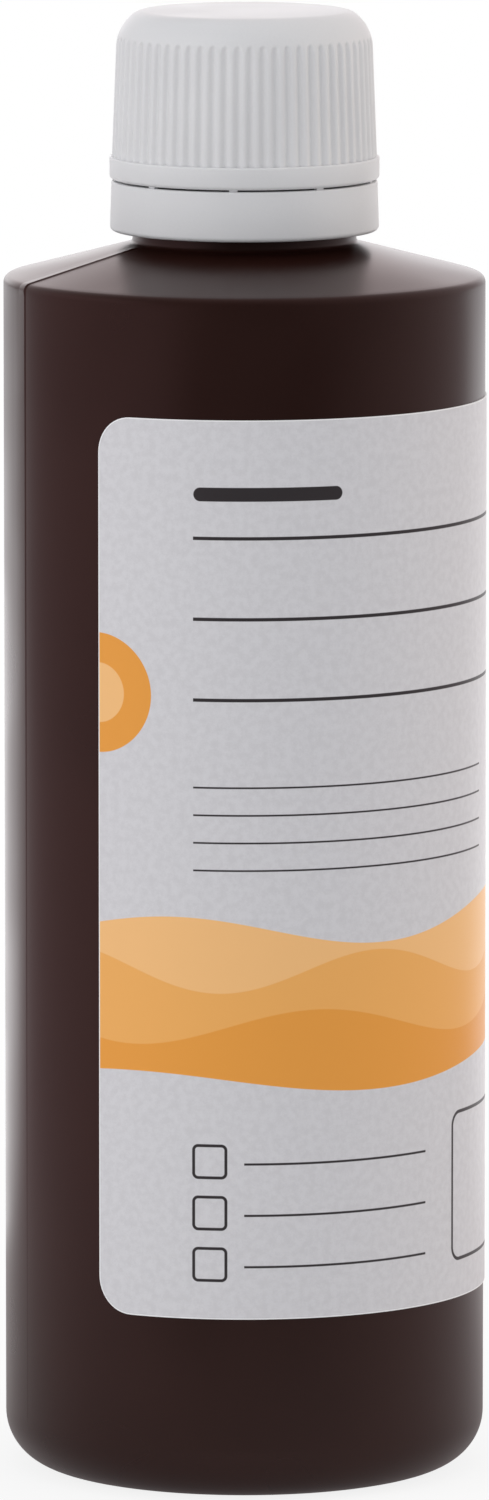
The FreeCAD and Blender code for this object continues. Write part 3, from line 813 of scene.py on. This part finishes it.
def backdrop_light(tree, backdrop, direction):
    """Camera rays, all rays that show the backdrop, and its colour: white to the camera, toned in a gloss."""
    path = tree.nodes.new("ShaderNodeLightPath")
    camera, gloss, clear = (
        Term(tree, path.outputs[name]) for name in ("Is Camera Ray", "Is Glossy Ray", "Is Transmission Ray")
    )
    toned = use_group(tree, backdrop, {"Vector": direction}).outputs["Colour"]
    colour = mix_colours(tree, camera, toned, (1, 1, 1, 1))
    return camera, camera.apply("MAXIMUM", gloss).apply("MAXIMUM", clear), colour


def make_world(backdrop):
    world = bpy.data.worlds.new("studio")
    world.use_nodes = True
    tree = world.node_tree
    tree.nodes.clear()
    direction = tree.nodes.new("ShaderNodeTexCoord").outputs["Generated"]
    _, seen, colour = backdrop_light(tree, backdrop, direction)
    fill = place(tree, "ShaderNodeBackground", {"Color": (0.97, 0.98, 1.0, 1), "Strength": 0.71})
    white = place(tree, "ShaderNodeBackground", {"Color": colour, "Strength": 1.0})
    mixed = place(tree, "ShaderNodeMixShader", {"Fac": seen, 1: fill.outputs[0], 2: white.outputs[0]})
    output = tree.nodes.new("ShaderNodeOutputWorld")
    tree.links.new(mixed.outputs[0], output.inputs["Surface"])
    bpy.context.scene.world = world


def aim(thing, target):
    thing.rotation_euler = (Vector(target) - thing.location).to_track_quat("-Z", "Y").to_euler()


def add_softbox(name, location, width, height, watts, tint):
    lamp = bpy.data.lights.new(name, "AREA")
    lamp.shape = "RECTANGLE"
    lamp.size = width
    lamp.size_y = height
    lamp.energy = watts
    lamp.color = tint
    box = bpy.data.objects.new(name, lamp)
    bpy.context.scene.collection.objects.link(box)
    box.location = location
    box.visible_glossy = False
    aim(box, LAMP_TARGET)


def add_camera():
    lens = bpy.data.cameras.new("camera")
    lens.sensor_fit = "VERTICAL"
    lens.sensor_height = 36.0
    lens.lens = 321.5
    lens.clip_end = 50.0
    camera = bpy.data.objects.new("camera", lens)
    bpy.context.scene.collection.objects.link(camera)
    camera.location = around(0, CAMERA_DISTANCE, CAMERA_HEIGHT)
    aim(camera, CAMERA_TARGET)
    bpy.context.scene.camera = camera


def add_floor(backdrop):
    mesh = bpy.data.meshes.new("floor")
    corners = ((-1, -1), (1, -1), (1, 1), (-1, 1))
    mesh.from_pydata([(x * FLOOR_REACH, y * FLOOR_REACH, 0) for x, y in corners], [], [(0, 1, 2, 3)])
    floor = bpy.data.objects.new("floor", mesh)
    floor.location.z = cad_box[0][2] - FLOOR_DROP
    bpy.context.scene.collection.objects.link(floor)
    mesh.materials.append(make_floor_paint(backdrop))


# The bottle

label_low, label_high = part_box("label")
label_height = label_high.z - label_low.z
label_length = math.tau * BODY - BARE_STRIP
cap_low, cap_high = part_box("cap")


def bottle_outline():
    """Section of the bottle from the middle of its base, up the outside, over the rim and down the inside."""
    rise = math.tan(SHOULDER_SLOPE)
    inner_drop = WALL / math.cos(SHOULDER_SLOPE)
    inner = BODY - WALL
    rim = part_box("bottle")[1].z
    neck_foot = BODY_HEIGHT + (BODY - NECK) * rise
    bead_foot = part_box("tamper_ring")[0].z + RING_CATCH_RISE + RING_CATCH_HEIGHT + RING_CLEARANCE
    bead_land = bead_foot + LOCKING_BEAD_LAND
    bead_top = bead_land + LOCKING_BEAD_SLOPE
    clear = 0.6 * MM
    fade = 0.4 * MM
    # Left and right seam heights, as shares of the whole; the label covers the right seam.
    on_shoulder, above_label, below_label = (1.0, 0.2), (0.5, 0.2), (0.1, 0.1)
    label_top, label_side = (0.5, 0.0), (0.1, 0.0)
    return [
        (0.0, PUSH_UP_HEIGHT, 0.0),
        (PUSH_UP, PUSH_UP_HEIGHT, PUSH_UP_ROUND),
        (STAND_RING, 0.0, STAND_RING_ROUND),
        (BODY, 0.0, BASE_ROUND),
        (BODY, BASE_ROUND + fade, 0.0),
        (BODY, BASE_ROUND + 2 * fade, 0.0, *below_label),
        (BODY, label_low.z - clear - fade, 0.0, *below_label),
        (BODY, label_low.z - clear, 0.0, *label_side),
        (BODY, (label_low.z + label_high.z) / 2, 0.0, *label_side),
        (BODY, label_high.z + clear, 0.0, *label_top),
        (BODY, label_high.z + clear + fade, 0.0, *above_label),
        (BODY, BODY_HEIGHT - clear - fade, 0.0, *above_label),
        (BODY, BODY_HEIGHT, SHOULDER_ROUND, *on_shoulder),
        (BODY - clear - fade, BODY_HEIGHT + (clear + fade) * rise, 0.0, *on_shoulder),
        (NECK + clear + fade, neck_foot - (clear + fade) * rise, 0.0, *on_shoulder),
        (NECK, neck_foot, NECK_FILLET),
        (NECK, bead_foot, 0.0),
        (LOCKING_BEAD, bead_foot, LOCKING_BEAD_ROUND),
        (LOCKING_BEAD, bead_land, LOCKING_BEAD_ROUND),
        (NECK_ROOT, bead_top, NECK_ROOT_ROUND),
        (NECK_ROOT, rim, RIM_ROUND),
        (NECK_BORE, rim, RIM_ROUND),
        (NECK_BORE, BODY_HEIGHT + (BODY - NECK_BORE) * rise - inner_drop, NECK_FILLET),
        (inner, BODY_HEIGHT + WALL * rise - inner_drop, SHOULDER_ROUND),
        (inner, WALL, BASE_ROUND - WALL),
        (STAND_RING, WALL, 0.0),
        (PUSH_UP, PUSH_UP_HEIGHT + WALL, PUSH_UP_ROUND),
        (0.0, PUSH_UP_HEIGHT + WALL, 0.0),
    ]


def ring_outline():
    """Section of the tamper-evident ring: down its bore, round its catch and up its outside."""
    foot, top = (corner.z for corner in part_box("tamper_ring"))
    catch_foot = foot + RING_CATCH_RISE
    catch_top = catch_foot + RING_CATCH_HEIGHT
    return [
        (RING_BORE, top, 0.0),
        (RING_BORE, catch_top, 0.0),
        (RING_CATCH, catch_top, RING_CATCH_ROUND),
        (RING_CATCH, catch_foot, RING_CATCH_ROUND),
        (RING_BORE, foot, 0.0),
        (RING_FOOT, foot, RING_FOOT_ROUND),
        (RING_TOP, top, RING_TOP_ROUND),
        (RING_BORE, top, 0.0),
    ]


def base_weld():
    """Rounded weld line across the pushed-up middle of the base, where the mould pinched the tube off."""
    steps, arc, bluntness = 48, 10, 12
    points, faces = [], []
    for i in range(steps + 1):
        along = -1.0 + 2.0 * i / steps
        swell = math.sqrt(max(0.0, 1.0 - abs(along) ** bluntness))
        for k in range(arc + 1):
            turn = math.pi * k / arc
            points.append((
                along * WELD_LENGTH / 2,
                -math.cos(turn) * WELD_WIDTH / 2 * swell,
                PUSH_UP_HEIGHT + WELD_ROOT - math.sin(turn) * (WELD_HEIGHT + WELD_ROOT) * swell,
            ))
    row = arc + 1
    for i in range(steps):
        for k in range(arc):
            first = i * row + k
            faces.append((first, first + 1, first + row + 1, first + row))
        faces.append((i * row + arc, i * row, (i + 1) * row, (i + 1) * row + arc))
    mesh = bpy.data.meshes.new("base_weld")
    mesh.from_pydata(points, [], faces)
    shape = bmesh.new()
    shape.from_mesh(mesh)
    bmesh.ops.remove_doubles(shape, verts=shape.verts, dist=MERGE_DISTANCE)
    bmesh.ops.recalc_face_normals(shape, faces=shape.faces)
    shape.to_mesh(mesh)
    shape.free()
    mesh.polygons.foreach_set("use_smooth", [True] * len(mesh.polygons))
    mesh.materials.append(brown_plastic)
    piece = bpy.data.objects.new("base_weld", mesh)
    bpy.context.scene.collection.objects.link(piece)
    return piece


def cap_outline():
    """Section of the cap from its ceiling, down the bore, round the bead and up to the middle of its top."""
    foot, top = cap_low.z, cap_high.z
    ceiling = top - CAP_TOP_WALL
    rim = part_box("cap_liner")[0].z
    catch_top = rim - LINER_CATCH_CLEARANCE
    catch_foot = catch_top - LINER_CATCH_HEIGHT
    bead_top = foot + CAP_BEAD_HEIGHT
    chamfer = math.radians(45)
    trim = (DOME_SIDE_ROUND + DOME_EDGE_ROUND) * math.tan(chamfer / 2) + DOME_FACET
    drop = trim * math.sin(chamfer)
    side = CAP_SKIRT - (top - drop - bead_top) * math.tan(CAP_DRAFT)
    return [
        (0.0, ceiling, 0.0),
        (CAP_BORE, ceiling, CAP_CEILING_ROUND),
        (CAP_BORE, catch_top, LINER_CATCH_FOOT_ROUND),
        (LINER_CATCH, (catch_top + catch_foot) / 2, LINER_CATCH_ROUND),
        (CAP_BORE, catch_foot, LINER_CATCH_FOOT_ROUND),
        (CAP_BORE, foot, CAP_BORE_ROUND),
        (CAP_BEAD, foot, CAP_BEAD_ROUND),
        (CAP_BEAD, bead_top, CAP_BEAD_TOP_ROUND),
        (CAP_SKIRT, bead_top, 0.0),
        (side, top - drop, DOME_SIDE_ROUND),
        (side - drop, top, DOME_EDGE_ROUND),
        (0.0, top, 0.0),
    ]


grain = make_grain_group()
brown_plastic = make_brown_plastic(grain)
white_plastic = make_white_plastic(grain)
for node, material in (("ring_bridges", white_plastic), ("cap_liner", make_liner_foam(grain))):
    nodes[node].data.materials.clear()
    nodes[node].data.materials.append(material)

turning = make_turning_group()
bottle = grow("blown_bottle", make_blown_bottle_tree(turning), {
    "Segments": 480, "Corner Points": 4, "Side Crowding": 0.9, "Seam Height": SEAM_HEIGHT,
    "Seam Front": SEAM_FRONT, "Seam Back": SEAM_BACK, "Material": brown_plastic,
}, outline_mesh("bottle_outline", bottle_outline()))
weld_line = base_weld()
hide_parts("bottle")
for piece in (bottle, weld_line):
    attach(piece, "bottle")

ring = grow("breakaway_ring", make_turned_tree(turning), {
    "Segments": 288, "Corner Points": 4, "Material": white_plastic,
}, outline_mesh("ring_outline", ring_outline()))
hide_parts("tamper_ring")
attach(ring, "ring")

cap = grow("ribbed_cap", make_fluted_cap_tree(turning), {
    "Segments": FLUTES * COLUMNS_PER_FLUTE, "Corner Points": 4, "Flutes": FLUTES, "Flute Depth": FLUTE_DEPTH,
    "Flute Half Width": FLUTE_HALF_WIDTH, "Flute End Round": FLUTE_END_ROUND,
    "Flute Top": cap_high.z - FLUTE_TOP_MARGIN, "Skirt Radius": CAP_SKIRT,
    "Skirt Foot": cap_low.z + CAP_BEAD_HEIGHT, "Skirt Taper": math.tan(CAP_DRAFT), "Material": white_plastic,
}, outline_mesh("cap_outline", cap_outline()))
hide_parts("cap")
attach(cap, "cap")

label = grow("wrapped_label", make_label_tree(), {
    "Wrap Radius": BODY, "Length": label_length, "Height": label_height, "Foot": label_low.z,
    "Start Angle": BARE_STRIP_ANGLE + BARE_STRIP / BODY / 2, "Corner": LABEL_CORNER,
    "Thickness": LABEL_THICKNESS, "Columns": 260, "Corner Columns": 12, "Rows": 13,
    "Material": make_label_print(grain),
})
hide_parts("label")
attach(label, "bottle")

# The two threads share a pitch, and the cap's lies just under the neck's.
thread = make_thread_tree()
neck_thread = grow("neck_thread", thread, {
    "Root Radius": NECK_ROOT, "Crest Radius": NECK_THREAD, "Width": NECK_THREAD_WIDTH, "Pitch": PITCH,
    "Turns": NECK_THREAD_TURNS, "Start Angle": 0.0, "Start Height": NECK_THREAD_START,
    "Run Out": THREAD_RUN_OUT, "Steps": 240, "Material": brown_plastic,
})
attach(neck_thread, "bottle")
cap_thread = grow("cap_thread", thread, {
    "Root Radius": CAP_BORE, "Crest Radius": CAP_THREAD, "Width": CAP_THREAD_WIDTH, "Pitch": PITCH,
    "Turns": CAP_THREAD_TURNS, "Start Angle": -CAP_THREAD_LAG * math.tau,
    "Start Height": NECK_THREAD_START - CAP_THREAD_LAG * PITCH - CAP_THREAD_DROP,
    "Run Out": THREAD_RUN_OUT, "Steps": 200, "Material": white_plastic,
})
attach(cap_thread, "cap")

backdrop = make_backdrop_group()
add_floor(backdrop)
make_world(backdrop)
add_softbox("left_softbox", around(-62, 1.4, 0.6), width=1.8, height=1.6, watts=7.7, tint=(1.0, 1.0, 1.0))
add_softbox("right_softbox", around(106, 1.4, 0.5), width=0.5, height=1.6, watts=6.0, tint=(1.0, 0.82, 0.67))
add_softbox("top_softbox", around(20, 0.4, 1.5), width=1.2, height=1.2, watts=2.1, tint=(1.0, 0.98, 0.96))
add_camera()
bpy.context.scene.view_settings.view_transform = "Standard"
